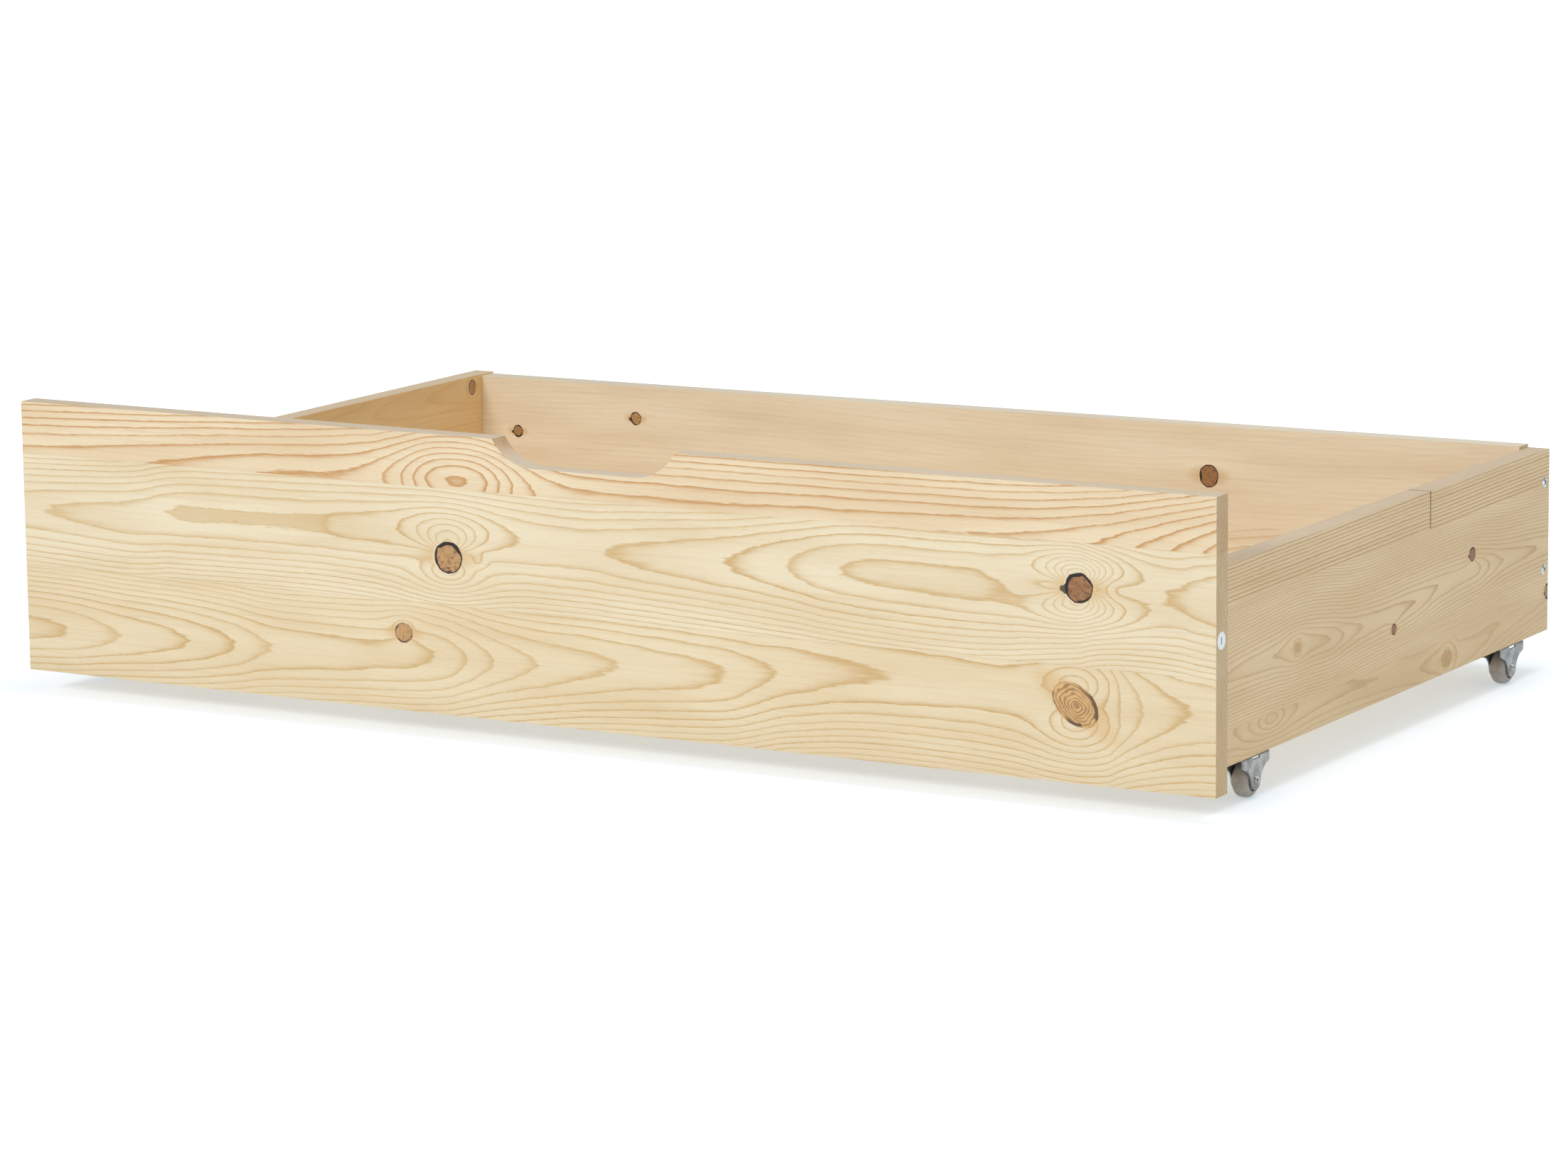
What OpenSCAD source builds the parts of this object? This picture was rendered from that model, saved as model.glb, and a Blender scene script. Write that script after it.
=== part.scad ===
// Under-bed storage box in pine: a shallow drawer on four fixed castors.
// Frame: +Z up, front towards -Y, origin on the floor under the middle of the box.

/* [Box] */
// Width of the front panel
box_w = 970; // [700:10:1200]
// Depth from the front face to the back ends of the sides
box_d = 588; // [450:2:800]
// Thickness of the solid pine boards
board_t = 17; // [16:1:20]
// Height of the front panel
front_h = 200; // [180:1:230]
// Floor to the lower edge of the front panel
front_gap = 18; // [12:1:24]
// Height of the sides
side_h = 136; // [120:1:150]
// Front panel's overhang beyond each side
side_inset = 12; // [8:1:20]
// How far the back panel stands above the right side's top edge
back_rise_right = 2.5; // [0:0.5:4]
// How far the back panel stops below the left side's top edge
back_drop_left = 1.5; // [0:0.5:4]

/* [Hand cut-out] */
// Width of the flat stretch of the cut-out
grip_flat = 83; // [60:1:110]
// Depth below the front panel's top edge
grip_depth = 19; // [15:1:25]
// Radius of the curves at the cut-out's ends
grip_r = 38; // [30:1:50]

/* [Bottom] */
// Thickness of the plywood bottom
bottom_t = 4; // [3:0.5:6]
// Height of the bottom's underside above the sides' lower edges
bottom_lift = 15; // [12:1:20]
// Depth of the grooves that hold the bottom
groove_d = 6; // [4:0.5:7]
// Width of the rail under the middle of the bottom
rail_w = 45; // [35:1:60]

/* [Castors] */
// Wheel diameter
wheel_d = 25; // [20:1:26]
// Wheel width across the tread
wheel_w = 12; // [10:0.5:14]
// Castor height, from the floor to the sides' lower edges
castor_h = 30; // [28:1:34]
// Length of the castor's plate
plate_l = 41; // [38:1:50]
// Thickness of the castor's sheet steel
sheet_t = 1.2; // [1:0.1:1.5]
// Front panel's back face to the front axles
axle_front = 71; // [50:1:120]
// Back ends of the sides to the back axles
axle_back = 64; // [50:1:120]

/* [Hidden] */
$fn = 64;
eps = 0.5;

// Planes of the box
front_y = -box_d / 2;
inner_front_y = front_y + board_t;
back_y = box_d / 2;
inner_back_y = back_y - board_t;
side_x = box_w / 2 - side_inset;
inner_x = side_x - board_t;
side_z = castor_h;
side_top = side_z + side_h;
front_top = front_gap + front_h;
bottom_z = side_z + bottom_lift;
side_mid_x = side_x - board_t / 2;

// Bottom panel and its grooves
groove_play = 0.2;
edge_play = 0.5;

// Flat-pack joint between the front and each side
cam_r = 7.5;
cam_depth = 12.5;
cam_setback = 34;
cam_slot_t = 1.4;
cam_slot_l = 7;
cam_slot_depth = 2.5;
cam_z = [side_z + 34, side_top - 32];
bolt_channel_r = 4;
bolt_thread_r = 2.5;
bolt_thread_l = 11;
bolt_shank_r = 2.5;
bolt_head_r = 3.5;
bolt_head_l = 4;
bolt_collar_r = 3.7;
bolt_collar_l = 2;
claw_r = 3.8;
dowel_r = 4;
dowel_in_front = 10;
dowel_in_end = 20;
front_dowel_z = [side_z + 54, side_top - 52];

// Screws through the sides into the back panel's end grain
screw_r = 2;
screw_head_r = 4;
screw_sink = 2.2;
screw_dome = 0.8;
slot_t = 0.9;
slot_l = 4.4;
slot_depth = 1.6;
back_screw_l = 45;
back_screw_z = [side_z + 47, side_z + 112];

// Rail under the bottom
rail_fix_x = 12;
rail_screw_l = 50;

// Short butt joint between two staves in the top of the right side
stave_joint_y = front_y + 371;
stave_h = 27;
stave_gap = 0.6;
stave_gap_depth = 1.2;

// Castor details; plate_top is measured from the axle
wheel_r = wheel_d / 2;
axle_z = wheel_r;
plate_top = castor_h - axle_z;
axle_r = 2;
axle_head_r = 2.9;
axle_head_h = 1;
axle_dimple_r = 1.1;
wheel_bore_r = 2.05;
wheel_shoulder_r = 4.5;
hub_r = 4.6;
hub_proud = 0.3;
wheel_play = 0.6;
bracket_w = wheel_w + 2 * (wheel_play + sheet_t);
recess_r = 8;
recess_d = 1.6;
ear_boss_r = 7;
ear_fillet_x = 20;
ear_fillet_drop = 4;
ear_fillet_r = norm([ear_fillet_x, ear_fillet_drop]) - ear_boss_r;
tab_corner_r = 2.5;
bend_r = 2;
window_l = 11.5;
window_h = 1.8;
plate_screw_y = 16;
plate_screw_l = 16;
plate_screw_r = 1.75;
plate_head_r = 3.2;
plate_head_h = 1.8;
plate_head_taper = 0.8;
axle_y = [inner_front_y + axle_front, back_y - axle_back];

// Round adhesive assembly mark on the right end of the front panel
label_r = 6;
label_t = 0.2;
label_y = front_y + 7.5;
label_z = front_gap + 104;

CORNERS = ["front_left", "front_right", "rear_left", "rear_right"];

// Where corner c stands: X is to the right, Y to the back
function corner_x(c) = (c % 2 == 0 ? -1 : 1) * side_mid_x;
function corner_y(c) = axle_y[floor(c / 2)];

// Turns a drawing of the XZ plane into a slab from y = 0 to y = t
module slab_y(t) translate([0, t, 0]) rotate([90, 0, 0]) linear_extrude(t) children();

// Turns a drawing of the YZ plane into a slab from x = -t/2 to x = t/2
module slab_x(t) rotate([90, 0, 90]) linear_extrude(t, center = true) children();

// Cylinders along the X and Y axes, starting at the origin
module rod_x(r, l) rotate([0, 90, 0]) cylinder(r = r, h = l);
module rod_y(r, l) rotate([-90, 0, 0]) cylinder(r = r, h = l);

// A square given by two opposite corners
module rect(a, b) translate(a) square(b - a);

// A box given by two opposite corners
module block(a, b) translate(a) cube(b - a);

// ---- Boards ----

module grip_outline() {
    low = front_top - grip_depth;
    high = front_top + eps;
    rect([-grip_flat / 2, low], [grip_flat / 2, high]);
    for (s = [-1, 1]) scale([s, 1]) intersection() {
        translate([grip_flat / 2, low + grip_r]) circle(grip_r, $fn = 96);
        rect([grip_flat / 2 - eps, low], [grip_flat / 2 + grip_r, high]);
    }
}

module front_panel() {
    color("wheat") difference() {
        translate([0, front_y, 0]) slab_y(board_t) difference() {
            rect([-box_w / 2, front_gap], [box_w / 2, front_top]);
            grip_outline();
        }
        block([-inner_x - groove_d, inner_front_y - groove_d, bottom_z],
              [inner_x + groove_d, inner_front_y + eps, bottom_z + bottom_t + groove_play]);
        for (s = [-1, 1]) {
            for (z = cam_z) translate([s * side_mid_x, inner_front_y - bolt_thread_l, z])
                rod_y(bolt_thread_r, bolt_thread_l + eps);
            for (z = front_dowel_z) translate([s * side_mid_x, inner_front_y - dowel_in_front, z])
                rod_y(dowel_r, dowel_in_front + eps);
            translate([s * rail_fix_x, inner_front_y - dowel_in_front, rail_mid_z()])
                rod_y(dowel_r, dowel_in_front + eps);
        }
    }
}

// A side board, drawn for the right; the left one is its mirror image
module side_board() {
    difference() {
        block([inner_x, inner_front_y, side_z], [side_x, back_y, side_top]);
        block([inner_x - eps, inner_front_y - eps, bottom_z],
              [inner_x + groove_d, back_y + eps, bottom_z + bottom_t + groove_play]);
        for (z = cam_z) {
            translate([inner_x - eps, inner_front_y + cam_setback, z])
                rod_x(cam_r, cam_depth + eps);
            translate([side_mid_x, inner_front_y - eps, z])
                rod_y(bolt_channel_r, cam_setback + eps);
        }
        for (z = front_dowel_z) translate([side_mid_x, inner_front_y - eps, z])
            rod_y(dowel_r, dowel_in_end + eps);
        for (z = back_screw_z) translate([side_x, back_y - board_t / 2, z]) {
            translate([-board_t - eps, 0, 0]) rod_x(screw_r, board_t + 2 * eps);
            screw_sink_cone();
        }
        for (y = axle_y, s = [-1, 1]) translate([side_mid_x, y + s * plate_screw_y, side_z - eps])
            cylinder(r = plate_screw_r, h = plate_screw_l - sheet_t + eps);
    }
}

module screw_sink_cone() {
    translate([-screw_sink, 0, 0]) rotate([0, 90, 0])
        cylinder(r1 = screw_r, r2 = screw_head_r, h = screw_sink);
}

module side_panel_left() color("burlywood") mirror([1, 0, 0]) side_board();

module side_panel_right() {
    color("burlywood") difference() {
        side_board();
        block([side_x - stave_gap_depth, stave_joint_y, side_top - stave_h],
              [side_x + eps, stave_joint_y + stave_gap, side_top + eps]);
        block([inner_x - eps, stave_joint_y, side_top - stave_gap_depth],
              [side_x + eps, stave_joint_y + stave_gap, side_top + eps]);
    }
}

module back_panel() {
    color("wheat") difference() {
        translate([0, inner_back_y, 0]) slab_y(board_t) polygon([
            [-inner_x, side_z], [inner_x, side_z],
            [inner_x, side_top + back_rise_right], [-inner_x, side_top - back_drop_left]
        ]);
        block([-inner_x - eps, inner_back_y - eps, bottom_z],
              [inner_x + eps, inner_back_y + groove_d, bottom_z + bottom_t + groove_play]);
        for (s = [-1, 1]) {
            for (z = back_screw_z) scale([s, 1, 1])
                translate([side_x - back_screw_l, back_y - board_t / 2, z])
                    rod_x(screw_r, back_screw_l);
            translate([s * rail_fix_x, inner_back_y - eps, rail_mid_z()])
                rod_y(screw_r, board_t + 2 * eps);
            translate([s * rail_fix_x, back_y - screw_dome, rail_mid_z()]) rotate([0, 0, 90]) {
                screw_sink_cone();
                rod_x(screw_head_r, screw_dome + eps);
            }
        }
    }
}

module bottom_panel() {
    color("tan") block(
        [-inner_x - groove_d + edge_play, inner_front_y - groove_d + edge_play, bottom_z],
        [inner_x + groove_d - edge_play, inner_back_y + groove_d - edge_play, bottom_z + bottom_t]);
}

function rail_mid_z() = side_z + bottom_lift / 2;

module centre_rail() {
    color("burlywood") difference() {
        block([-rail_w / 2, inner_front_y, side_z], [rail_w / 2, inner_back_y, bottom_z]);
        for (s = [-1, 1]) {
            translate([s * rail_fix_x, inner_front_y - eps, rail_mid_z()])
                rod_y(dowel_r, dowel_in_end + eps);
            translate([s * rail_fix_x, back_y - screw_dome - rail_screw_l, rail_mid_z()])
                rod_y(screw_r, rail_screw_l);
        }
    }
}

// ---- Castors ----

// Side view of the bracket, with the axle at the origin
module ear_outline() {
    tab_low = ear_fillet_r - ear_fillet_drop;
    neck_low = -ear_fillet_drop * ear_boss_r / (ear_boss_r + ear_fillet_r);
    half = plate_l / 2;
    circle(ear_boss_r);
    difference() {
        rect([-ear_fillet_x, neck_low], [ear_fillet_x, tab_low]);
        for (s = [-1, 1]) translate([s * ear_fillet_x, -ear_fillet_drop]) circle(ear_fillet_r);
    }
    rect([-half, tab_low + tab_corner_r], [half, plate_top]);
    rect([-half + tab_corner_r, tab_low], [half - tab_corner_r, plate_top]);
    for (s = [-1, 1]) translate([s * (half - tab_corner_r), tab_low + tab_corner_r])
        circle(tab_corner_r);
}

// End view of the bracket: an upside-down U with round bends
module channel(half, top, r) {
    low = -ear_boss_r - eps;
    rect([-half, low], [half, top - r]);
    rect([-half + r, low], [half - r, top]);
    for (s = [-1, 1]) translate([s * (half - r), top - r]) circle(r);
}

module castor_bracket(c) {
    color("silver") translate([corner_x(c), corner_y(c), axle_z]) difference() {
        intersection() {
            slab_x(bracket_w + 2 * eps) ear_outline();
            translate([0, -plate_l, 0]) slab_y(2 * plate_l) difference() {
                channel(bracket_w / 2, plate_top, bend_r);
                channel(bracket_w / 2 - sheet_t, plate_top - sheet_t, bend_r - sheet_t);
            }
        }
        translate([-bracket_w, 0, 0]) rod_x(axle_r, 2 * bracket_w);
        for (s = [-1, 1]) {
            translate([0, s * plate_screw_y, plate_top - 2 * sheet_t])
                cylinder(r = plate_screw_r, h = 3 * sheet_t);
            scale([s, 1, 1]) block(
                [bracket_w / 2 - bend_r, -window_l / 2, plate_top - sheet_t - window_h],
                [bracket_w / 2 + eps, window_l / 2, plate_top - sheet_t]);
        }
    }
}

module axle(c) {
    grip = bracket_w / 2;
    color("gainsboro") translate([corner_x(c), corner_y(c), axle_z]) difference() {
        union() {
            translate([-grip, 0, 0]) rod_x(axle_r, bracket_w);
            for (s = [-1, 1]) scale([s, 1, 1]) translate([grip, 0, 0]) rotate([0, 90, 0])
                cylinder(r1 = axle_head_r, r2 = axle_head_r - axle_head_h / 2, h = axle_head_h);
        }
        for (s = [-1, 1]) scale([s, 1, 1]) translate([grip, 0, 0])
            rod_x(axle_dimple_r, axle_head_h + eps);
    }
}

module wheel(c) {
    half = wheel_w / 2;
    color("gray") translate([corner_x(c), corner_y(c), axle_z]) rotate([0, 90, 0])
        rotate_extrude($fn = 96) difference() {
            union() {
                rect([wheel_bore_r, -half], [wheel_r - wheel_shoulder_r, half]);
                rect([wheel_bore_r, wheel_shoulder_r - half], [wheel_r, half - wheel_shoulder_r]);
                for (s = [-1, 1])
                    translate([wheel_r - wheel_shoulder_r, s * (half - wheel_shoulder_r)])
                        circle(wheel_shoulder_r);
                rect([wheel_bore_r, -half - hub_proud], [hub_r, half + hub_proud]);
            }
            for (s = [-1, 1]) translate([0, s * half])
                rect([hub_r, -recess_d], [recess_r, recess_d]);
        }
}

// ---- Fasteners ----

// A domed cross-head screw along +X, its head's rim at the origin and its shank behind it
module cross_screw(l) {
    dome_r = (screw_head_r * screw_head_r + screw_dome * screw_dome) / (2 * screw_dome);
    difference() {
        union() {
            translate([-l, 0, 0]) rod_x(screw_r, l);
            screw_sink_cone();
            rotate([0, 90, 0]) rotate_extrude() intersection() {
                translate([0, screw_dome - dome_r]) circle(dome_r, $fn = 96);
                rect([0, 0], [screw_head_r, screw_dome]);
            }
        }
        cross_slot(slot_t, slot_l, slot_depth + screw_dome, screw_dome);
    }
}

// The cut for a cross-head driver: blade thickness, length, depth and the face it starts from
module cross_slot(t, l, depth, face) {
    translate([face - depth / 2 + eps / 2, 0, 0]) for (a = [0, 90]) rotate([a, 0, 0])
        cube([depth + eps, t, l], center = true);
}

module back_screws() {
    color("silver") for (s = [-1, 1], z = back_screw_z) scale([s, 1, 1])
        translate([side_x, back_y - board_t / 2, z]) rotate([45, 0, 0]) cross_screw(back_screw_l);
}

module rail_screws() {
    color("silver") for (s = [-1, 1])
        translate([s * rail_fix_x, back_y - screw_dome, rail_mid_z()])
            rotate([0, 0, 90]) cross_screw(rail_screw_l);
}

module castor_screws() {
    color("silver") for (c = [0:3], s = [-1, 1])
        translate([corner_x(c), corner_y(c) + s * plate_screw_y, side_z - sheet_t]) difference() {
            union() {
                cylinder(r = plate_screw_r, h = plate_screw_l);
                translate([0, 0, -plate_head_h])
                    cylinder(r1 = plate_head_r - plate_head_taper, r2 = plate_head_r,
                             h = plate_head_h);
            }
            rotate([0, 90, 0]) cross_slot(slot_t, slot_l, slot_depth, plate_head_h);
        }
}

module cam_bolts() {
    color("silver") for (s = [-1, 1], z = cam_z) translate([s * side_mid_x, inner_front_y, z]) {
        translate([0, -bolt_thread_l, 0]) rod_y(bolt_thread_r, bolt_thread_l);
        rod_y(bolt_collar_r, bolt_collar_l);
        rod_y(bolt_shank_r, cam_setback);
        translate([0, cam_setback - bolt_head_l / 2, 0]) rod_y(bolt_head_r, bolt_head_l);
    }
}

module cam_discs() {
    color("lightgray") for (s = [-1, 1], z = cam_z) scale([s, 1, 1])
        translate([inner_x, inner_front_y + cam_setback, z]) difference() {
            rod_x(cam_r, cam_depth);
            translate([board_t / 2, -cam_r - eps, 0]) rod_y(claw_r, cam_r + claw_r + eps);
            rotate([0, 180, 0]) cross_slot(cam_slot_t, cam_slot_l, cam_slot_depth, 0);
        }
}

module front_dowels() {
    color("moccasin") for (s = [-1, 1], z = front_dowel_z)
        translate([s * side_mid_x, inner_front_y - dowel_in_front, z])
            rod_y(dowel_r, dowel_in_front + dowel_in_end);
}

module rail_dowels() {
    color("moccasin") for (s = [-1, 1])
        translate([s * rail_fix_x, inner_front_y - dowel_in_front, rail_mid_z()])
            rod_y(dowel_r, dowel_in_front + dowel_in_end);
}

module assembly_label() {
    color("white") translate([box_w / 2, label_y, label_z]) rod_x(label_r, label_t);
}

front_panel();
side_panel_left();
side_panel_right();
back_panel();
bottom_panel();
centre_rail();
for (c = [0:3]) {
    castor_bracket(c);
    axle(c);
    wheel(c);
}
castor_screws();
back_screws();
cam_bolts();
cam_discs();
front_dowels();
rail_dowels();
rail_screws();
assembly_label();
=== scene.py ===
"""An under-bed storage box in pine on four fixed castors, dressed around its CAD frame."""

import math
import bpy
from mathutils import Matrix, Vector


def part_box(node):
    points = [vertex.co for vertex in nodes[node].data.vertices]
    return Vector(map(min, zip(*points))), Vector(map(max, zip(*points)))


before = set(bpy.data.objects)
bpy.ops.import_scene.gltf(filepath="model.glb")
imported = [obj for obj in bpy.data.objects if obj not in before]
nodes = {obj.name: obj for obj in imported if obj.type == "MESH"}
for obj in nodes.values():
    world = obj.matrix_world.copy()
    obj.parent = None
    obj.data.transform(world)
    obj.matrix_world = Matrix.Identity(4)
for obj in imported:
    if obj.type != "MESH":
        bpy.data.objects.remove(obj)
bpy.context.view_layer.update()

MM = 0.001


# ---- Material arithmetic ----


def srgb(red, green, blue):
    """A colour given as 0 to 255, as the linear colour that a shader wants."""
    linear = []
    for part in (red, green, blue):
        share = part / 255
        if share <= 0.04045:
            linear.append(share / 12.92)
        else:
            linear.append(((share + 0.055) / 1.055) ** 2.4)
    return (*linear, 1.0)


class Value:
    """A number, vector or colour made by a node, so that a material reads as arithmetic."""

    def __init__(self, graph, socket):
        self.graph = graph
        self.socket = socket

    def __add__(self, other):
        return self.graph.math("ADD", self, other)

    def __sub__(self, other):
        return self.graph.math("SUBTRACT", self, other)

    def __rsub__(self, other):
        return self.graph.math("SUBTRACT", other, self)

    def __mul__(self, other):
        return self.graph.math("MULTIPLY", self, other)

    def __truediv__(self, other):
        return self.graph.math("DIVIDE", self, other)

    def __neg__(self):
        return self.graph.math("MULTIPLY", self, -1)

    __radd__ = __add__
    __rmul__ = __mul__


class Graph:
    """Builds one material's nodes."""

    def __init__(self, name, roughness=0.5, metallic=0.0, specular=0.5):
        self.material = bpy.data.materials.new(name)
        self.material.use_nodes = True
        self.tree = self.material.node_tree
        self.shader = self.tree.nodes["Principled BSDF"]
        self.shader.inputs["Roughness"].default_value = roughness
        self.shader.inputs["Metallic"].default_value = metallic
        self.shader.inputs["Specular IOR Level"].default_value = specular

    def feed(self, socket, value):
        """Links a value to a socket, or sets the socket to a plain number or colour."""
        if isinstance(value, Value):
            self.tree.links.new(value.socket, socket)
        else:
            socket.default_value = value

    def math(self, operation, *values):
        made = self.tree.nodes.new("ShaderNodeMath")
        made.operation = operation
        for place, value in enumerate(values):
            self.feed(made.inputs[place], value)
        return Value(self, made.outputs[0])

    def floor(self, x):
        return self.math("FLOOR", x)

    def fract(self, x):
        return self.math("FRACT", x)

    def exp(self, x):
        return self.math("EXPONENT", x)

    def sqrt(self, x):
        return self.math("SQRT", x)

    def low(self, a, b):
        return self.math("MINIMUM", a, b)

    def high(self, a, b):
        return self.math("MAXIMUM", a, b)

    def above(self, x, edge):
        return self.math("GREATER_THAN", x, edge)

    def ramp(self, x, start, end, first=0.0, last=1.0):
        """Goes smoothly from first, where x is start, to last, where x is end."""
        made = self.tree.nodes.new("ShaderNodeMapRange")
        made.interpolation_type = "SMOOTHSTEP"
        for place, value in enumerate((x, start, end, first, last)):
            self.feed(made.inputs[place], value)
        return Value(self, made.outputs[0])

    def tint(self, share, a, b, blend="MIX"):
        """Colour a, taken towards colour b by the share, or blended with it in another way."""
        made = self.tree.nodes.new("ShaderNodeMix")
        made.data_type = "RGBA"
        made.blend_type = blend
        made.clamp_factor = True
        self.feed(made.inputs[0], share)
        self.feed(made.inputs[6], a)
        self.feed(made.inputs[7], b)
        return Value(self, made.outputs[2])

    def vector(self, x, y, z):
        made = self.tree.nodes.new("ShaderNodeCombineXYZ")
        for name, value in zip("XYZ", (x, y, z)):
            self.feed(made.inputs[name], value)
        return Value(self, made.outputs[0])

    def place(self, output="Object"):
        """The point being shaded, in the object's own frame, as three numbers."""
        made = self.tree.nodes.new("ShaderNodeTexCoord")
        apart = self.tree.nodes.new("ShaderNodeSeparateXYZ")
        self.tree.links.new(made.outputs[output], apart.inputs[0])
        return [Value(self, socket) for socket in apart.outputs]

    def noise(self, x, y, z, detail=0.0, roughness=0.5):
        """Smooth noise from 0 to 1, a step of 1 in x, y or z being about one bump."""
        made = self.tree.nodes.new("ShaderNodeTexNoise")
        made.noise_dimensions = "3D"
        self.feed(made.inputs["Vector"], self.vector(x, y, z))
        made.inputs["Scale"].default_value = 1.0
        made.inputs["Detail"].default_value = detail
        made.inputs["Roughness"].default_value = roughness
        return Value(self, made.outputs[0])

    def chance(self, x):
        """A number from 0 to 1 that depends on x alone, by chance."""
        made = self.tree.nodes.new("ShaderNodeTexWhiteNoise")
        made.noise_dimensions = "1D"
        self.feed(made.inputs["W"], x)
        return Value(self, made.outputs["Value"])

    def curve(self, x, points):
        """A smooth curve of x through given points."""
        made = self.tree.nodes.new("ShaderNodeFloatCurve")
        xs = [point[0] for point in points]
        ys = [point[1] for point in points]
        width = xs[-1] - xs[0]
        floor = min(ys)
        height = max(max(ys) - floor, 1e-6)
        line = made.mapping.curves[0]
        while len(line.points) < len(points):
            line.points.new(0.5, 0.5)
        for spot, (px, py) in zip(line.points, points):
            spot.location = ((px - xs[0]) / width, (py - floor) / height)
            spot.handle_type = "AUTO_CLAMPED"
        made.mapping.update()
        self.feed(made.inputs["Value"], (x - xs[0]) * (1 / width))
        return Value(self, made.outputs[0]) * height + floor

    def bump(self, height, distance):
        """Roughens the surface: height runs from about 0 to 1, and distance is in metres."""
        made = self.tree.nodes.new("ShaderNodeBump")
        made.inputs["Strength"].default_value = 1.0
        made.inputs["Distance"].default_value = distance
        self.feed(made.inputs["Height"], height)
        self.feed(self.shader.inputs["Normal"], Value(self, made.outputs[0]))

    def finish(self, colour, roughness=None):
        self.feed(self.shader.inputs["Base Color"], colour)
        if roughness is not None:
            self.feed(self.shader.inputs["Roughness"], roughness)
        return self.material


# ---- Pine ----
# Every board is glued up from staves. Lengths are in millimetres: along the grain, up the board,
# and in from its show face. A stave's figure is that of a log whose pith runs under the show face:
# depth counts the growth rings that lie over the pith at each place along the stave, and centre is
# the height at which the pith runs. A ring's edge shows where the count passes a whole number.
#
# A stave holds:
#   low           the height of its lower glue line
#   spread        how wide its figure opens, at the low and the high end of the grain
#   pitch         the spacing of its growth rings
#   pale, late    the colours of its earlywood and latewood
#   bold, thick   how dark and how thick its latewood lines are
#   centre        points along the grain, with the height of the pith
#   depth         points along the grain, with the rings over the pith
#   solid         a ring, how much wider its dark band is, and where along the grain that ends
#   joint         where a butt joint crosses it, and how many rings the figure jumps there
# A knot holds:
#   at, size      its heart, along and up, and its half axes
#   turn          how far its long axis turns, in degrees
#   lift, reach   how many rings it lifts, and how far that goes, above and below it
#   stretch       how far its pull is drawn out along the grain
#   stave         the stave whose rings it lifts
#   dead          0 for a knot that grew into its wood, 1 for one with a bark ring and cracks
#   brown, clear  how brown its own wood is, and how plainly it shows
# An eye lifts rings as a knot does, with nothing of its own to see.

CREAM = srgb(224, 209, 178)
STRAW = srgb(222, 204, 170)
ROSE = srgb(224, 204, 170)
TAN = srgb(194, 157, 98)
RUST = srgb(190, 141, 84)

FRONT_STAVES = [
    dict(
        low=-100, spread=(14.5, 20.5), pitch=2.0, pale=STRAW, late=TAN, bold=1.0,
        centre=[(-485, 50), (-270, 53), (-130, 58), (-60, 60), (20, 65), (110, 67), (170, 75),
                (240, 78), (330, 76), (400, 72), (485, 74)],
        depth=[(-485, 5.35), (-450, 5), (-403, 4), (-342, 3), (-300, 2), (-266, 1), (-200, 0.45),
               (-131, 0), (-101, -1), (-79, -2), (-42, -3), (22, -4), (108, -5), (150, -6),
               (238, -7), (300, -7.3), (350, -7.4), (385, -7.6), (403, -8), (415, -9),
               (433, -10), (467, -11), (485, -11.2)],
    ),
    dict(
        low=97, spread=(15, 17.5), pitch=2.2, pale=CREAM, late=TAN, bold=1.0, solid=(2, 0.22, -218),
        centre=[(-485, 138), (-420, 138), (-350, 144), (-270, 146), (-180, 147), (-60, 146),
                (0, 145), (110, 146), (210, 148), (300, 147), (385, 148), (485, 149)],
        depth=[(-485, 0.8), (-460, 1), (-400, 1.5), (-350, 2), (-340, 2.08), (-230, 2.1),
               (-200, 2.25), (-165, 2.3), (-60, 1.8), (-10, 1.75), (22, 2), (110, 3), (163, 4),
               (208, 5), (240, 5.3), (290, 5.35), (320, 5.1), (345, 4.4), (385, 3.1), (425, 1.8),
               (453, 2), (470, 2.5), (485, 2.9)],
    ),
    dict(
        low=180, spread=(18, 18), pitch=2.2, pale=ROSE, late=RUST, bold=1.3,
        centre=[(-485, 172), (-300, 174), (-180, 181), (-103, 186), (-40, 180), (40, 174),
                (485, 172)],
        depth=[(-485, 0.52), (-370, 1.2), (-240, 2.1), (-190, 2.05), (-165, 2.1), (-103, 3.4),
               (-42, 2.2), (20, 2.35), (100, 2.56), (200, 2.8), (300, 3.1), (325, 3.2),
               (395, 4.2), (427, 5.2), (452, 6.2), (475, 7.2), (485, 7.7)],
    ),
]
FRONT_KNOTS = [
    dict(at=(-112.6, 131.1), size=(11.6, 11.4), lift=(6.2, 4.4), reach=(29, 40), stretch=1.7, stave=1,
         brown=0.3, clear=1, dead=0.85),
    dict(at=(384.6, 149.9), size=(10.4, 10.2), lift=(9, 8), reach=(25, 25), stretch=2.1, stave=1,
         brown=0.8, clear=1, dead=1.0),
    dict(at=(-151.9, 74.0), size=(7.6, 7.2), lift=(1.6, 0.8), reach=(16, 16), stretch=1.5, stave=0,
         brown=0.2, clear=1, dead=0.3),
    dict(at=(382.1, 71.2), size=(18.5, 13), lift=(3.5, 3.5), reach=(34, 34), stretch=1.3, stave=0,
         brown=0.0, clear=1, dead=0.15, turn=-35),
]
FRONT_EYES = [
    dict(at=(-104, 185.5), lift=3.7, reach=24, stretch=2.2, stave=2),
    dict(at=(-88, 130), lift=1.2, reach=5, stretch=1.6, stave=1),
    dict(at=(403, 150), lift=1.2, reach=4.5, stretch=1.6, stave=1),
]

SIDE_PALE = srgb(225, 198, 153)
SIDE_DEEP = srgb(221, 193, 146)
SIDE_LATE = srgb(182, 140, 84)
LEFT_PALE = srgb(233, 202, 150)
LEFT_LATE = srgb(200, 154, 96)

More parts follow.
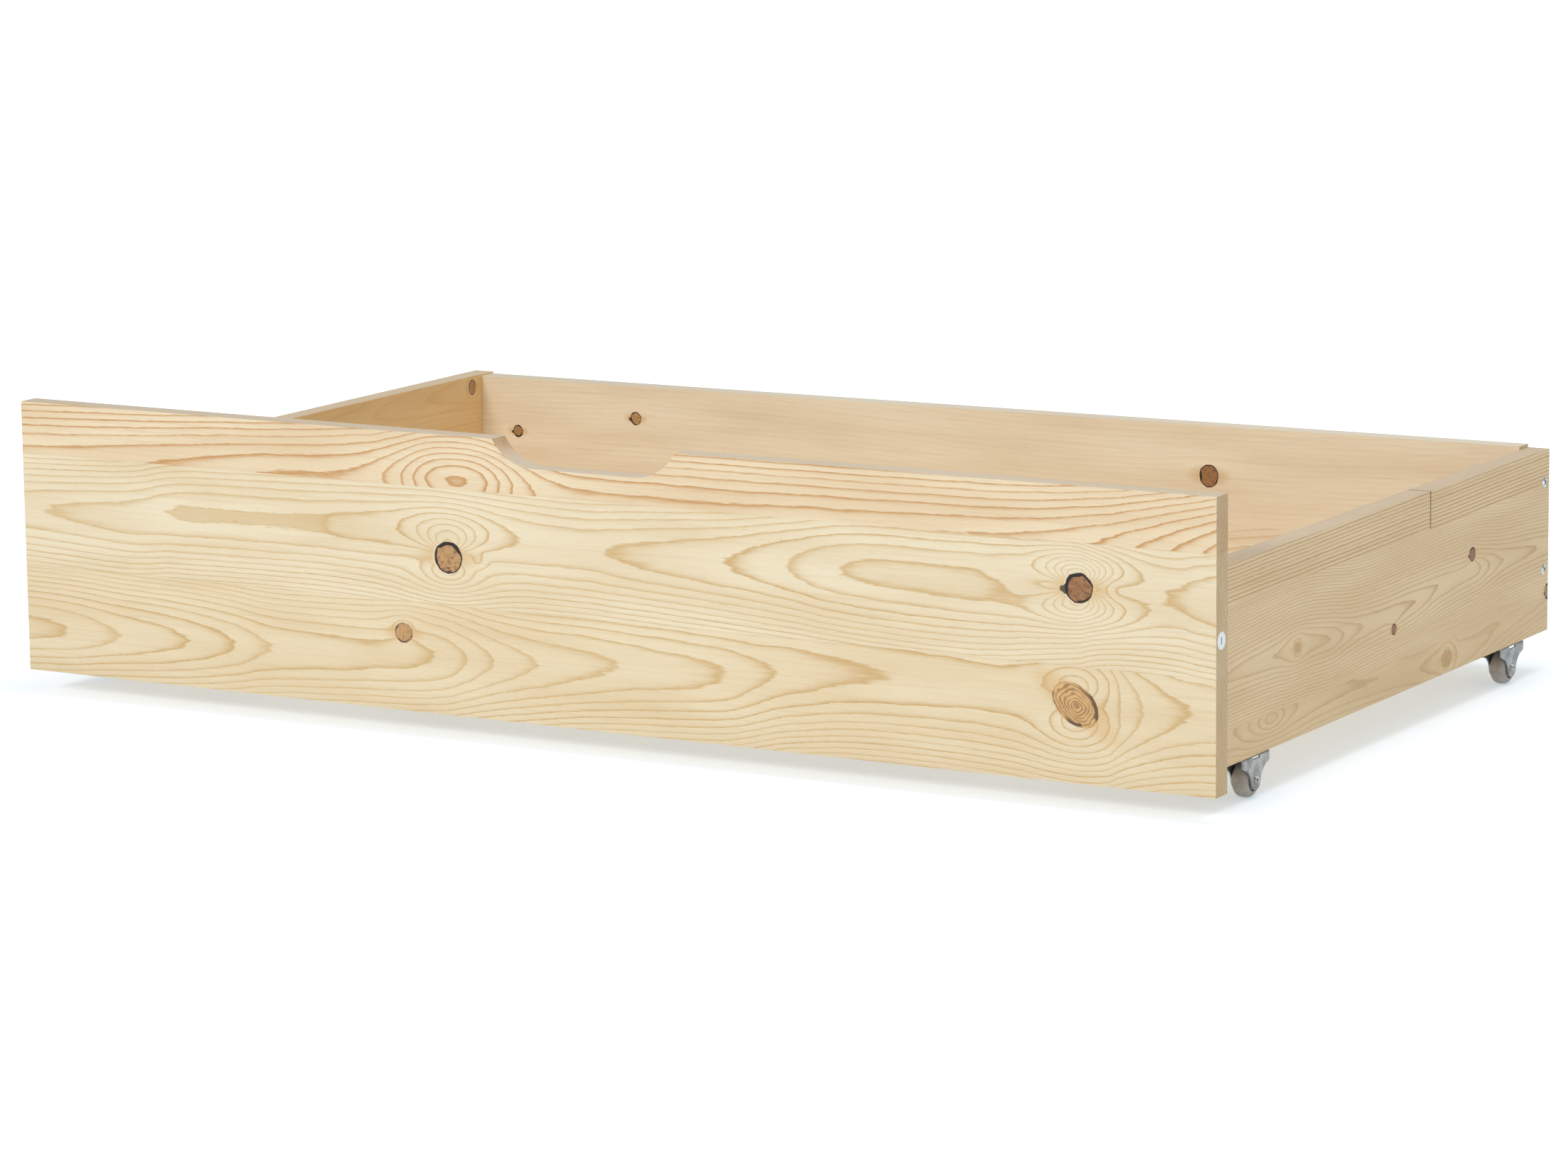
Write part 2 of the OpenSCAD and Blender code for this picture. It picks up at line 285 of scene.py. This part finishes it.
RIGHT_STAVES = [
    dict(
        low=-100, spread=(11, 11), pitch=2.1, pale=SIDE_DEEP, late=SIDE_LATE, bold=0.75,
        centre=[(-294, 50), (-184, 52), (0, 47), (107, 40), (200, 50), (294, 60)],
        depth=[(-294, -1), (-240, 0.05), (-184, 1.2), (-100, 0.4), (40, -0.1), (107, 0.6),
               (130, -0.2), (200, -1), (294, -1.6)],
    ),
    dict(
        low=54, spread=(8, 8), pitch=2.1, pale=SIDE_PALE, late=SIDE_LATE, bold=0.9, thick=1.15,
        centre=[(-294, 88), (-149, 92), (-60, 88), (50, 91), (150, 96), (260, 95), (294, 94)],
        depth=[(-294, -1.2), (-178, 0), (-149, 0.5), (-94, 0), (-69, -1), (-39, -2), (51, -3),
               (91, -4), (160, -5), (186, -6), (211, -7), (268, -8), (294, -8.3)],
    ),
    dict(
        low=139, spread=(9, 9), pitch=2.5, pale=SIDE_PALE, late=SIDE_LATE, bold=1.7, thick=1.4,
        centre=[(-294, 110), (294, 113)], depth=[(-294, 0.3), (294, 1.2)],
        joint=(77.3, 2.6),
    ),
]
RIGHT_KNOTS = [
    dict(at=(152.4, 109.1), size=(5.4, 5.2), lift=(1.2, 1.6), reach=(13, 13), stretch=1.6, stave=1,
         brown=0.7, clear=1, dead=1.0),
    dict(at=(-143.5, 91.7), size=(5.6, 4.2), lift=(1.6, 1.6), reach=(12, 12), stretch=1.9, stave=1,
         brown=0.0, clear=0.5, dead=0.0),
    dict(at=(15.6, 77.2), size=(4.2, 4.2), lift=(1.0, 1.0), reach=(10, 10), stretch=1.6, stave=1,
         brown=0.7, clear=1, dead=0.9),
    dict(at=(107.8, 40.4), size=(9, 6.5), lift=(1.6, 1.6), reach=(13, 13), stretch=1.2, stave=0,
         brown=0.2, clear=0.55, dead=0.0),
    dict(at=(292.2, 59.2), size=(4.2, 6), lift=(1.0, 1.0), reach=(9, 9), stretch=1.5, stave=1,
         brown=0.3, clear=1, dead=1.0),
]
RIGHT_EYES = [dict(at=(-184, 50), lift=2.2, reach=9, stretch=2.4, stave=0)]

LEFT_STAVES = [
    dict(
        low=-100, spread=(10, 13), pitch=2.4, pale=LEFT_PALE, late=LEFT_LATE, bold=0.6,
        centre=[(-294, 62), (-120, 60), (60, 66), (294, 60)],
        depth=[(-294, 1.1), (-180, 2.2), (-60, 1.4), (90, 3.1), (200, 4.3), (294, 4.8)],
    ),
    dict(
        low=88, spread=(13, 12), pitch=2.5, pale=LEFT_PALE, late=LEFT_LATE, bold=0.35,
        centre=[(-294, 150), (-60, 146), (120, 152), (294, 158)],
        depth=[(-294, 3.4), (-150, 2.1), (20, 0.6), (160, 1.6), (294, 3.3)],
    ),
]
LEFT_KNOTS = [
    dict(at=(262, 157), size=(5, 6.5), lift=(1.4, 1.4), reach=(11, 11), stretch=1.5, stave=1,
         brown=0.5, clear=0.8, dead=0.8),
    dict(at=(-96, 66), size=(6.5, 6), lift=(2.6, 2.2), reach=(15, 15), stretch=1.7, stave=0,
         brown=0.4, clear=1, dead=0.4),
]

BACK_PALE = srgb(243, 231, 206)
BACK_LATE = srgb(204, 170, 124)

BACK_STAVES = [
    dict(
        low=-100, spread=(15, 19), pitch=2.3, pale=BACK_PALE, late=BACK_LATE, bold=0.7,
        centre=[(-485, 60), (-200, 64), (120, 56), (485, 62)],
        depth=[(-485, 2.2), (-330, 4.3), (-190, 3.2), (-40, 1.4), (120, 2.6), (300, 5.2),
               (485, 6.8)],
    ),
    dict(
        low=92, spread=(9, 9), pitch=4.2, pale=BACK_PALE, late=BACK_LATE, bold=0.18,
        centre=[(-485, 24), (-200, 32), (120, 20), (485, 34)],
        depth=[(-485, 0.4), (-300, 1.1), (-60, 0.6), (202, 1.3), (485, 2.2)],
    ),
]
BACK_KNOTS = [
    dict(at=(-421.9, 121.2), size=(4.6, 5), lift=(1.6, 1.6), reach=(13, 13), stretch=1.8, stave=1,
         brown=0.3, clear=1, dead=1.0),
    dict(at=(-309, 138.9), size=(5, 5.4), lift=(1.6, 1.8), reach=(13, 13), stretch=1.8, stave=1,
         brown=0.0, clear=1, dead=1.0),
    dict(at=(202.5, 128.7), size=(8, 8.8), lift=(2, 2), reach=(16, 16), stretch=2.0, stave=1,
         brown=0.7, clear=1, dead=0.8),
    dict(at=(60, 58), size=(9, 8), lift=(4, 4), reach=(22, 22), stretch=1.8, stave=0,
         brown=0.3, clear=1, dead=0.3),
]

RAIL_STAVES = [
    dict(
        low=-100, spread=(9, 11), pitch=2.4, pale=SIDE_PALE, late=SIDE_LATE, bold=0.8,
        centre=[(-294, 4), (0, -6), (294, 9)],
        depth=[(-294, 1.2), (-90, 3.4), (120, 2.2), (294, 4.8)],
    ),
]

END_TINT = srgb(240, 230, 216)
END_LATE = srgb(136, 100, 64)
# The pale grey for faces that look up: partly wear, partly painted light from above
TOP_WEAR_AND_LIGHT = srgb(213, 206, 191)
WHORL = 4.0              # square mm: keeps a knot's pull on the rings finite at its heart
SPREAD_SPAN = 970        # mm of grain over which a stave's spread goes from its first to its last
STAVE_STEP = 40          # keeps the ring numbers of two staves apart, so that chance differs
JOINT_HALF = (0.9, 0.45)  # mm from a butt joint's middle: where it starts to darken, and is dark
JOINT_DARK = 0.86
KNOT_LEAN = (0.12, 0.08)  # how far a knot leans, back along the grain and up, in each mm of depth


def ring_count(g, along, up, into, stave, number, knots, eyes):
    """How many growth rings lie between the pith and a point of a stave."""
    first, last = stave["spread"]
    spread = (first + last) / 2 + (last - first) / SPREAD_SPAN * along
    pitch = stave["pitch"]
    flat = spread * spread * (0.5 / pitch)
    off = up - g.curve(along, stave["centre"])
    reach = g.sqrt(off * off + flat * flat) - flat
    count = g.curve(along, stave["depth"]) - reach * (1 / pitch) + into * (1 / pitch)
    for knot in [k for k in knots if k["stave"] == number]:
        du = (along - knot["at"][0]) * (1 / knot["stretch"])
        dv = up - knot["at"][1]
        far = du * du + dv * dv + WHORL
        above, below = knot["lift"]
        side = dv / g.sqrt(far)
        lift = (above + below) / 2 + (above - below) / 2 * side
        top, bottom = knot["reach"]
        fall = (1 / top**2 + 1 / bottom**2) / 2 + (1 / top**2 - 1 / bottom**2) / 2 * side
        count = count + lift * (dv * dv / far) * g.exp(-(far * fall))
    for eye in [e for e in eyes if e["stave"] == number]:
        du = (along - eye["at"][0]) * (1 / eye["stretch"])
        dv = up - eye["at"][1]
        far = du * du + dv * dv
        count = count + eye["lift"] * g.exp(far * (-1 / eye["reach"] ** 2))
    if "joint" in stave:
        where, jump = stave["joint"]
        count = count + g.above(along, where) * jump
    return count


def joint_line(g, along, up, staves):
    """The shade of the butt joint within a stave: 1 away from it, or where there is none."""
    for stave in staves:
        if "joint" in stave:
            off = g.math("ABSOLUTE", along - stave["joint"][0])
            line = g.ramp(off, *JOINT_HALF, 0.0, JOINT_DARK)
            return 1 - line * g.above(up, stave["low"])
    return 1.0


KNOT_KINDS = ("dead", "brown", "clear")


def nearest_knot(g, along, up, into, knots):
    """Across, up and out from the nearest knot's heart, in its radii, and what kind it is."""
    best = None
    for knot in knots:
        turn = math.radians(knot.get("turn", 0))
        du = along - knot["at"][0] + into * KNOT_LEAN[0]
        dv = up - knot["at"][1] - into * KNOT_LEAN[1]
        wide, tall = knot["size"]
        x = (du * math.cos(turn) + dv * math.sin(turn)) * (1 / wide)
        y = (dv * math.cos(turn) - du * math.sin(turn)) * (1 / tall)
        far = g.sqrt(x * x + y * y)
        if best is None:
            best = [x, y, far] + [x * 0 + knot[kind] for kind in KNOT_KINDS]
            continue
        nearer = g.above(best[2], far)
        values = [x, y, far] + [knot[kind] for kind in KNOT_KINDS]
        best = [old + nearer * (new - old) for old, new in zip(best, values)]
    return best


def pine(name, along_axis, into_axis, face, inward, staves, knots=(), eyes=()):
    """Glued pine. The grain runs along one axis, and inward leads in from the show face."""
    g = Graph(name, roughness=0.5, specular=0.42)
    place = g.place()
    along = place[along_axis] * 1000
    up = place[2] * 1000
    into = (place[into_axis] - face) * (1000 * inward)

    # The rings, one field for each stave, with the glue lines between them
    count, pale, late, bold, thick, solid = None, None, None, None, None, []
    for number, stave in enumerate(staves):
        if "solid" in stave:
            which, hold, end = stave["solid"]
            solid.append((which + STAVE_STEP * number, g.ramp(along, end + 12, end - 8, 0.0, hold)))
        field = ring_count(g, along, up, into, stave, number, knots, eyes) + STAVE_STEP * number
        if count is None:
            count, pale, late = field, stave["pale"], stave["late"]
            bold = along * 0 + stave["bold"]
            thick = along * 0 + stave.get("thick", 1)
            glue = g.math("ABSOLUTE", up + 1000)
            continue
        inside = g.above(up, stave["low"])
        count = count + (field - count) * inside
        pale = g.tint(inside, pale, stave["pale"])
        late = g.tint(inside, late, stave["late"])
        bold = bold + inside * (stave["bold"] - bold)
        thick = thick + inside * (stave.get("thick", 1) - thick)
        glue = g.low(glue, g.math("ABSOLUTE", up - stave["low"]))

    # Slow wander, short waves and fibre tears in the ring lines
    wander = g.noise(along / 80, up / 24, into / 20) - 0.5
    waves = g.noise(along / 24 + 7, up / 3.2, into / 3.2) - 0.5
    tears = g.noise(along / 9 + 3, up / 0.5, into / 0.5) - 0.5
    count = count + wander * 0.3 + waves * 0.17 + tears * 0.13

    # Latewood: dark at the ring's outer edge, fading inwards
    ring = g.floor(count)
    share = count - ring
    cap = 1.0
    for which, hold in solid:
        this = g.math("COMPARE", ring, which, 0.1)
        share = g.high(share - this * hold, 0.0)
        cap = 1 - this * hold * 2.2
    weight = g.chance(ring) * 0.4 + 0.6
    next_weight = g.chance(ring + 1) * 0.4 + 0.6
    fade = (g.chance(ring + 0.5) * 0.08 + 0.11) * thick
    narrow = share / fade
    dark = g.exp(-(narrow * g.sqrt(narrow))) * 0.75 + g.exp(-(share * 4.5)) * 0.25
    dark = (dark + g.ramp(share, 0.93, 1.0) * 0.9 * (next_weight / weight)) * weight
    dark = g.low(dark * bold, cap)

    # Colour: earlywood to latewood, with slow drifts, fibres and resin ducts
    drift = g.noise(along / 150 + 2, up / 26, into / 20, detail=1.0)
    fibre = g.noise(along / 26, up / 0.42, into / 0.42, detail=2.0)
    streak = g.noise(along / 140 + 9, up / 2.4, into / 2.4, detail=1.0)
    duct = g.noise(along / 7 + 5, up / 0.34, into / 0.34)
    colour = g.tint(g.ramp(drift, 0.3, 0.75), pale, g.tint(0.24, pale, late))
    colour = g.tint(g.ramp(streak, 0.45, 0.8, 0.0, 0.16), colour, late)
    colour = g.tint(dark, colour, late)
    shade = g.ramp(fibre, 0.25, 0.75, 0.955, 1.03) * g.ramp(duct, 0.72, 0.82, 1.0, 0.9)
    shade = shade * g.ramp(glue, 0.0, 0.35, 0.93, 1.0) * joint_line(g, along, up, staves)

    # End grain is darker, and its rings show more; faces that look up are paler and greyer, partly
    # wear and partly painted light from above
    normal = g.place("Normal")
    end = g.ramp(g.math("ABSOLUTE", normal[along_axis]), 0.6, 0.9)
    colour = g.tint(g.ramp(normal[2], 0.6, 0.9, 0.0, 0.45), colour, TOP_WEAR_AND_LIGHT)
    colour = g.tint(1.0, colour, g.vector(shade, shade, shade), "MULTIPLY")
    colour = g.tint(end, colour, END_TINT, "MULTIPLY")
    colour = g.tint(end * dark * 0.9, colour, END_LATE)
    height = dark * 0.5 + fibre * 0.35 - g.ramp(duct, 0.72, 0.82) * 0.3
    rough = 0.5 - dark * 0.07 + (fibre - 0.5) * 0.1 + end * 0.15

    if knots:
        colour, height, rough = add_knots(g, along, up, into, knots, colour, height, rough)
    g.bump(height, 0.00012)
    return g.finish(colour, rough)


KNOT_LIGHT = srgb(212, 170, 114)
KNOT_BROWN = srgb(148, 98, 60)
KNOT_DARK = srgb(104, 60, 30)
KNOT_RING = srgb(32, 19, 11)
RESIN = srgb(204, 162, 100)
RIM = srgb(230, 206, 176)
KNOT_WAVE = 46  # radians of ring wave in a knot's radius, so about seven rings


def add_knots(g, along, up, into, knots, colour, height, rough):
    """Draws the nearest knot: rings, drying cracks and a bark ring, with stained wood around."""
    x, y, far, dead, brown, clear = nearest_knot(g, along, up, into, knots)
    jitter = g.noise(x * 2.2 + 5, y * 2.2, dead * 9, detail=2.0) - 0.5
    far = far + jitter * 0.16
    angle = g.math("ARCTAN2", y, x)

    # Stained wood drawn out along the grain on both sides of the knot
    side = g.sqrt(x * x * 0.3 + y * y * 1.9)
    stain = g.ramp(side, 0.6, 1.5, 0.5, 0.0)
    colour = g.tint(stain, colour, RESIN)

    # The knot's own wood, with fine rings from the heart to the bark
    warp = g.noise(x * 1.3 + 9, y * 1.3, dead * 3)
    fine = g.math("SINE", far * KNOT_WAVE + warp * 16 + jitter * 3) * 0.5 + 0.5
    mottle = g.noise(x * 3 + 2, y * 3, dead * 5, detail=3.0)
    wood = g.tint(brown, KNOT_LIGHT, KNOT_BROWN)
    wood = g.tint(fine * g.ramp(mottle, 0.25, 0.6, 0.3, 0.62), wood, KNOT_DARK)
    wood = g.tint(g.ramp(mottle, 0.5, 0.68, 0.0, 0.6) * (dead * 0.8 + 0.2), wood, KNOT_DARK)
    heart = g.ramp(far, 0.0, 0.16, 0.45, 0.0)
    wood = g.tint(heart, wood, KNOT_DARK)

    # Cracks that run out from the heart, and the bark ring
    spoke = g.noise(angle * 2.3 + 3, dead * 11, far * 0.7)
    crack = g.ramp(g.math("ABSOLUTE", spoke - 0.5), 0.0, 0.03, 1.0, 0.0)
    crack = crack * g.ramp(far, 0.12, 0.3) * g.ramp(mottle, 0.4, 0.5) * dead
    patchy = g.noise(x * 0.9 + 8, y * 0.9 + dead * 7, brown * 5, detail=1.0)
    start = 0.9 - g.ramp(patchy, 0.4, 0.65, 0.0, 0.16)
    bark = g.ramp(far, start, start + 0.04) * g.ramp(dead, 0.1, 0.7)
    patch = g.ramp(patchy, 0.52, 0.6) * g.ramp(far, 0.74, 0.9) * 0.8 * g.ramp(clear, 0.4, 0.9)
    bark = g.high(bark, patch)
    wood = g.tint(crack * 0.85, wood, KNOT_RING)
    wood = g.tint(bark, wood, KNOT_RING)

    # Pitch that has bled past the ring along the grain, and a pale rim beside it
    wedge = g.math("ABSOLUTE", y + 0.1) + jitter * 0.5 + g.ramp(far, 1.0, 1.45, 0.0, 0.3)
    bleed = g.ramp(wedge, 0.4, 0.32) * g.above(0, x) * g.ramp(dead, 0.9, 0.98)
    bleed = bleed * g.ramp(far, 1.42, 1.3)
    rim = g.ramp(far, 1.14, 1.08) * g.ramp(x + y * 0.5, 0.1, -0.5) * g.ramp(dead, 0.2, 0.6)
    colour = g.tint(rim * 0.7, colour, RIM)
    colour = g.tint(bleed * 0.9, colour, KNOT_RING)
    knot = g.ramp(far, 1.04, 0.97)
    colour = g.tint(knot * clear, colour, wood)
    dent = crack * 0.8 + bark * g.ramp(dead, 0.4, 1.0) * 1.6
    height = height + knot * (0.3 - dent)
    rough = rough + knot * 0.08
    return colour, height, rough


# ---- Other materials ----


PLY_THICKNESS = 1.333  # mm: three plies in the 4 mm board


def plywood():
    """Thin birch plywood: a plain peeled face with long soft figure, and plies at its edges."""
    g = Graph("birch_plywood", roughness=0.55, specular=0.4)
    x, y, z = g.place()
    warp = g.noise(x * 4, y * 1.2, 0.0, detail=1.0)
    bands = g.noise(x * 16 + warp * 3, y * 1.6, 4.0, detail=3.0)
    fibre = g.noise(x * 1700, y * 26, z * 900, detail=1.0)
    fleck = g.noise(x * 900, y * 130, z * 300)
    colour = g.tint(g.ramp(bands, 0.35, 0.7), srgb(226, 200, 160), srgb(208, 176, 132))
    colour = g.tint(g.ramp(fleck, 0.68, 0.8, 0.0, 0.35), colour, srgb(168, 128, 88))
    shade = g.ramp(fibre, 0.25, 0.75, 0.95, 1.03)
    ply = g.fract(z * (1000 / PLY_THICKNESS))
    shade = shade * g.ramp(g.math("ABSOLUTE", ply - 0.5), 0.4, 0.5, 1.0, 0.85)
    colour = g.tint(1.0, colour, g.vector(shade, shade, shade), "MULTIPLY")
    g.bump(fibre, 0.00006)
    return g.finish(colour, 0.5 + fibre * 0.12)


def beech():
    """Dowel beech with short dark flecks."""
    g = Graph("beech_dowel", roughness=0.55)
    x, y, z = g.place()
    fleck = g.noise(x * 1500, y * 220, z * 1500)
    grain = g.noise(x * 300, y * 12, z * 300, detail=2.0)
    colour = g.tint(g.ramp(grain, 0.3, 0.7), srgb(216, 178, 134), srgb(198, 156, 112))
    colour = g.tint(g.ramp(fleck, 0.62, 0.75, 0.0, 0.5), colour, srgb(150, 106, 70))
    g.bump(grain, 0.0001)
    return g.finish(colour, 0.5 + grain * 0.15)


SPANGLE = 2600.0  # bumps in a metre
DULLING = 160.0   # patches in a metre


def zinc(name, light, dull, roughness):
    """Zinc-plated steel: fine spangle, soft dull patches and faint scratches."""
    g = Graph(name, roughness=roughness, metallic=1.0)
    x, y, z = g.place()
    patch = g.noise(x * DULLING, y * DULLING, z * DULLING, detail=3.0)
    fine = g.noise(x * SPANGLE, y * SPANGLE, z * SPANGLE, detail=1.0)
    scratch = g.noise(x * 4000, y * 260, z * 900)
    colour = g.tint(g.ramp(patch, 0.35, 0.68), light, dull)
    colour = g.tint(g.ramp(fine, 0.55, 0.8, 0.0, 0.25), colour, dull)
    rough = g.ramp(patch, 0.3, 0.7, roughness - 0.08, roughness + 0.14)
    rough = rough - g.ramp(scratch, 0.64, 0.74, 0.0, 0.1)
    g.bump(fine * 0.5 + patch * 0.5 - g.ramp(scratch, 0.64, 0.74) * 0.4, 0.00003)
    return g.finish(colour, rough)


def wheel_plastic():
    """Grey-brown moulded tyre: matte, with soft clouding and fine specks."""
    g = Graph("wheel_plastic", roughness=0.5)
    x, y, z = g.place()
    cloud = g.noise(x * 240, y * 240, z * 240, detail=3.0)
    speck = g.noise(x * 1900, y * 1900, z * 1900)
    colour = g.tint(g.ramp(cloud, 0.3, 0.75), srgb(166, 157, 147), srgb(152, 143, 133))
    colour = g.tint(g.ramp(speck, 0.62, 0.78, 0.0, 0.3), colour, srgb(176, 168, 158))
    g.bump(cloud * 0.6 + speck * 0.4, 0.00008)
    return g.finish(colour, g.ramp(cloud, 0.3, 0.7, 0.42, 0.58))


def label_film(centre):
    """A white film disc with one plain dark bar, 1.3 by 5 mm, upright in its middle."""
    g = Graph("label_film", roughness=0.4)
    x, y, z = g.place()
    across = g.math("ABSOLUTE", (y - centre.y) * 1000)
    up = g.math("ABSOLUTE", (z - centre.z) * 1000)
    bar = g.ramp(across, 0.55, 0.75, 1.0, 0.0) * g.ramp(up, 2.4, 2.6, 1.0, 0.0)
    fibre = g.noise(x * 900, y * 900, z * 900, detail=2.0)
    colour = g.tint(g.ramp(fibre, 0.3, 0.7), srgb(236, 236, 234), srgb(228, 228, 226))
    colour = g.tint(bar * 0.85, colour, srgb(58, 60, 66))
    g.bump(fibre, 0.00002)
    return g.finish(colour, 0.38 + fibre * 0.08)


# ---- Dressing the CAD parts ----


BEVEL_ANGLE = 40  # degrees: edges sharper than this are rounded


def dress(name, material, edge=0.0, segments=3):
    """Gives a CAD part its material, and a small round on its edges where edge is set."""
    part = nodes[name]
    part.data.materials.clear()
    part.data.materials.append(material)
    if edge:
        bevel = part.modifiers.new("arris", "BEVEL")
        bevel.width = edge
        bevel.segments = segments
        bevel.limit_method = "ANGLE"
        bevel.angle_limit = math.radians(BEVEL_ANGLE)
        bevel.harden_normals = True


X_AXIS, Y_AXIS = 0, 1
front_low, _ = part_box("front_panel")
_, right_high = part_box("side_panel_right")
_, left_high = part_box("side_panel_left")
back_low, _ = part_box("back_panel")
rail_low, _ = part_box("centre_rail")
label_low, label_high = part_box("assembly_label")

ARRIS = 0.7 * MM
BRACKET_EDGE = 0.25 * MM
RIVET_EDGE = 0.15 * MM
WHEEL_EDGE = 0.3 * MM
dress("front_panel",
      pine("pine_front", X_AXIS, Y_AXIS, front_low.y, 1, FRONT_STAVES, FRONT_KNOTS, FRONT_EYES),
      ARRIS)
dress("side_panel_right",
      pine("pine_right", Y_AXIS, X_AXIS, right_high.x, -1, RIGHT_STAVES, RIGHT_KNOTS, RIGHT_EYES),
      ARRIS)
dress("side_panel_left",
      pine("pine_left", Y_AXIS, X_AXIS, left_high.x, -1, LEFT_STAVES, LEFT_KNOTS),
      ARRIS)
dress("back_panel",
      pine("pine_back", X_AXIS, Y_AXIS, back_low.y, 1, BACK_STAVES, BACK_KNOTS),
      ARRIS)
dress("centre_rail", pine("pine_rail", Y_AXIS, X_AXIS, rail_low.x, 1, RAIL_STAVES), ARRIS)
dress("bottom_panel", plywood())

bracket_zinc = zinc("castor_zinc", srgb(170, 171, 168), srgb(152, 153, 151), 0.44)
rivet_zinc = zinc("rivet_zinc", srgb(190, 188, 184), srgb(150, 148, 144), 0.3)
screw_zinc = zinc("screw_zinc", srgb(214, 216, 220), srgb(168, 170, 174), 0.24)
cam_zinc = zinc("cam_zinc", srgb(182, 182, 180), srgb(150, 150, 148), 0.42)
tyre = wheel_plastic()
for corner in ("front_left", "front_right", "rear_left", "rear_right"):
    dress("castor_bracket_" + corner, bracket_zinc, BRACKET_EDGE, 2)
    dress("axle_" + corner, rivet_zinc, RIVET_EDGE, 2)
    dress("wheel_" + corner, tyre, WHEEL_EDGE, 2)
for name in ("castor_screws", "back_screws", "rail_screws", "cam_bolts"):
    dress(name, screw_zinc)
dress("cam_discs", cam_zinc)
for name in ("front_dowels", "rail_dowels"):
    dress(name, beech())
dress("assembly_label", label_film((label_low + label_high) / 2))


# ---- Stage, light and camera ----


FLOOR_REACH = 30.0      # metres from the middle to the floor's edge
FLOOR_GAP = 0.2 * MM    # keeps the floor's face off the wheels'
GLOW_COLOUR = (0.78, 0.9, 1.0, 1)
GLOW_FROM, GLOW_TO = 0.75, 1.8  # metres from the middle, over which the floor's glow rises
GLOW_NEAR, GLOW_FAR = 0.44, 0.8


def floor_material():
    """A white floor that glows a little more away from the box, as an overexposed backdrop."""
    g = Graph("studio_floor", roughness=0.9, specular=0.0)
    x, y, z = g.place()
    cloud = g.noise(x * 0.7, y * 0.7, z, detail=1.0)
    away = g.sqrt(x * x + y * y)
    glow = g.ramp(away, GLOW_FROM, GLOW_TO, GLOW_NEAR, GLOW_FAR)
    g.shader.inputs["Emission Color"].default_value = GLOW_COLOUR
    g.feed(g.shader.inputs["Emission Strength"], glow)
    return g.finish(g.tint(cloud, (0.87, 0.9, 0.94, 1), (0.88, 0.91, 0.95, 1)))


def studio_floor():
    """One large face just under the wheels."""
    mesh = bpy.data.meshes.new("studio_floor")
    signs = [(-1, -1), (1, -1), (1, 1), (-1, 1)]
    corners = [(x * FLOOR_REACH, y * FLOOR_REACH, 0) for x, y in signs]
    mesh.from_pydata(corners, [], [(0, 1, 2, 3)])
    mesh.materials.append(floor_material())
    floor = bpy.data.objects.new("studio_floor", mesh)
    floor.location.z = -FLOOR_GAP
    bpy.context.scene.collection.objects.link(floor)


def soft_light(name, place, target, size, power):
    """A square white lamp, size metres wide, aimed at the target."""
    data = bpy.data.lights.new(name, "AREA")
    data.shape = "SQUARE"
    data.size = size
    data.energy = power
    lamp = bpy.data.objects.new(name, data)
    lamp.location = place
    lamp.rotation_euler = (Vector(target) - Vector(place)).to_track_quat("-Z", "Y").to_euler()
    bpy.context.scene.collection.objects.link(lamp)


def studio_air(strength):
    """Even white light from all round."""
    world = bpy.data.worlds.new("studio_air")
    world.use_nodes = True
    world.node_tree.nodes["Background"].inputs["Color"].default_value = (1, 1, 1, 1)
    world.node_tree.nodes["Background"].inputs["Strength"].default_value = strength
    bpy.context.scene.world = world


def camera(place, yaw, pitch, roll, lens):
    """Yaw turns from +Y to the left, pitch looks down, and roll leans, all in degrees."""
    data = bpy.data.cameras.new("camera")
    data.lens = lens
    data.sensor_width = 36
    data.sensor_fit = "HORIZONTAL"
    data.clip_end = 200
    eye = bpy.data.objects.new("camera", data)
    turn = Matrix.Rotation(math.radians(yaw), 4, "Z")
    nod = Matrix.Rotation(math.radians(90 - pitch), 4, "X")
    lean = Matrix.Rotation(math.radians(roll), 4, "Z")
    eye.matrix_world = Matrix.Translation(place) @ turn @ nod @ lean
    bpy.context.scene.collection.objects.link(eye)
    bpy.context.scene.camera = eye


studio_floor()
studio_air(strength=0.42)
soft_light("key", (-0.9, -5.0, 2.6), target=(0, 0, 0.1), size=1.2, power=118)
soft_light("overhead", (0.6, 0.3, 3.4), target=(0, 0, 0.1), size=2.4, power=26)
soft_light("tray", (0.45, 0.0, 1.6), target=(0, 0, 0.05), size=0.8, power=5.5)
camera((2.06352, -3.56102, 0.81922), yaw=30.2272, pitch=10.3074, roll=-0.6456, lens=130.01)
bpy.context.scene.view_settings.view_transform = "Standard"
